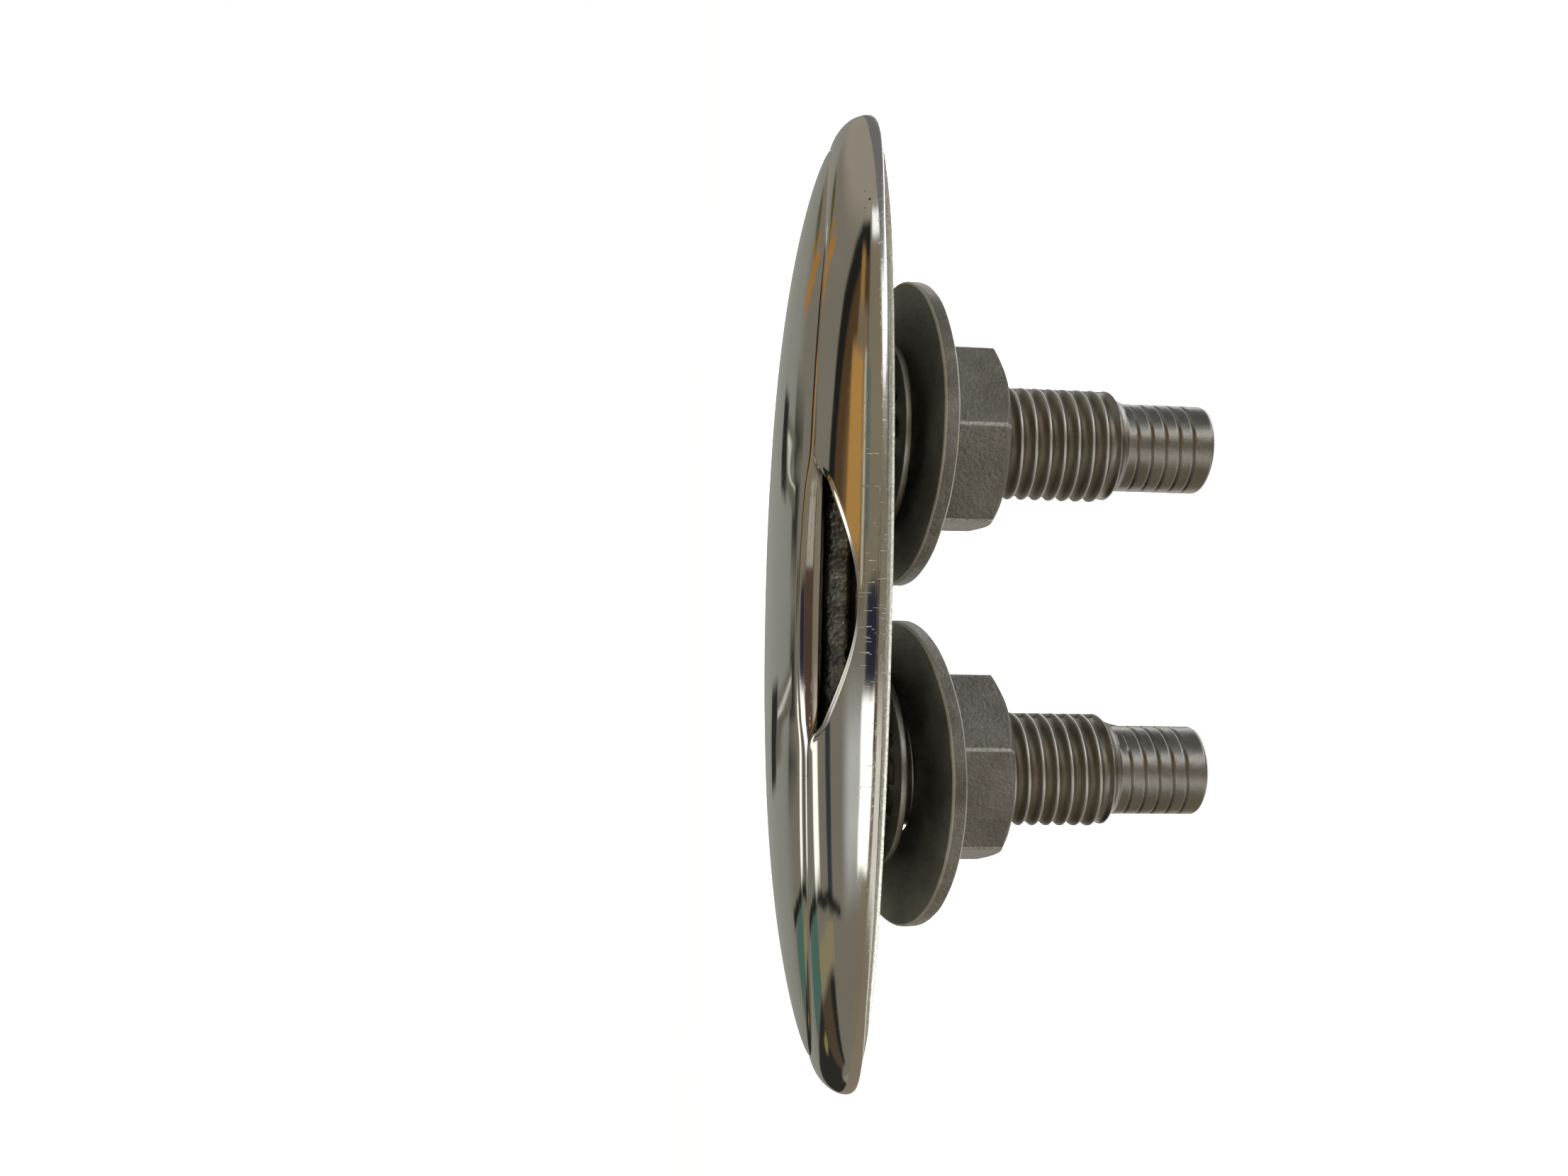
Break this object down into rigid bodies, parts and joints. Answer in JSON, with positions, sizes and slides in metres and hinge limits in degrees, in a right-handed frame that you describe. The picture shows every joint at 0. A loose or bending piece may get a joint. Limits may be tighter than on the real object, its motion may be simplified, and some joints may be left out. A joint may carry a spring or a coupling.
{
  "type": "pull-up mooring cleat",
  "caption": "Flush oval pull-up mooring cleat with finger scallops, foam deck gasket and hollow threaded studs carrying star washers, flat washers and hex nuts.",
  "frame": {"origin": "centre of the gasket underside, on the deck plane, midway between the two stud axes", "axes": "+X along the cleat, +Z out of the deck towards the cleat, studs along -Z, +Y across the cleat"},
  "size_m": [0.1704, 0.0526, 0.0767],
  "materials": {
    "polished_steel": "mirror-polished stainless casting, fine scuffs near the rim",
    "pickled_steel": "pickled satin stainless, granular grey-brown",
    "foam_gasket": "closed-cell foam with a granular cut edge",
    "guide_plastic": "off-white moulded plastic",
    "seal_rubber": "black rubber"
  },
  "bodies": {
    "base": {"base_bezel": "polished_steel", "deck_gasket": "foam_gasket", "upper_stud": "pickled_steel", "upper_guide_bush": "guide_plastic", "lower_stud": "pickled_steel", "lower_guide_bush": "guide_plastic"},
    "cleat": {"cleat_horn": "polished_steel", "upper_leg": "polished_steel", "upper_leg_o_ring": "seal_rubber", "upper_stop_ring": "pickled_steel", "upper_stop_washer": "pickled_steel", "lower_leg": "polished_steel", "lower_leg_o_ring": "seal_rubber", "lower_stop_ring": "pickled_steel", "lower_stop_washer": "pickled_steel"},
    "upper_washers": {"upper_star_washer": "pickled_steel", "upper_flat_washer": "pickled_steel"},
    "upper_nut_body": {"upper_nut": "pickled_steel"},
    "lower_washers": {"lower_star_washer": "pickled_steel", "lower_flat_washer": "pickled_steel"},
    "lower_nut_body": {"lower_nut": "pickled_steel"}
  },
  "joints": [
    {"name": "cleat_lift", "type": "slide", "parent": "base", "child": "cleat", "axis": [0, 0, 1], "range_m": [0, 0.035]},
    {"name": "upper_washer_slide", "type": "slide", "parent": "base", "child": "upper_washers", "axis": [0, 0, 1], "range_m": [-0.025, 0]},
    {"name": "upper_nut_turn", "type": "hinge", "parent": "upper_washers", "child": "upper_nut_body", "pos_m": [0.02876, 0, -0.0163], "axis": [0, 0, 1], "range_deg": [-3601, 0]},
    {"name": "lower_washer_slide", "type": "slide", "parent": "base", "child": "lower_washers", "axis": [0, 0, 1], "range_m": [-0.025, 0]},
    {"name": "lower_nut_turn", "type": "hinge", "parent": "lower_washers", "child": "lower_nut_body", "pos_m": [-0.02876, 0, -0.0163], "axis": [0, 0, 1], "range_deg": [-3601, 0]}
  ],
  "couplings": [
    {"joint": "upper_nut_turn", "follows": "upper_washer_slide", "rad_per_m": 2513.3},
    {"joint": "lower_nut_turn", "follows": "lower_washer_slide", "rad_per_m": 2513.3}
  ]
}
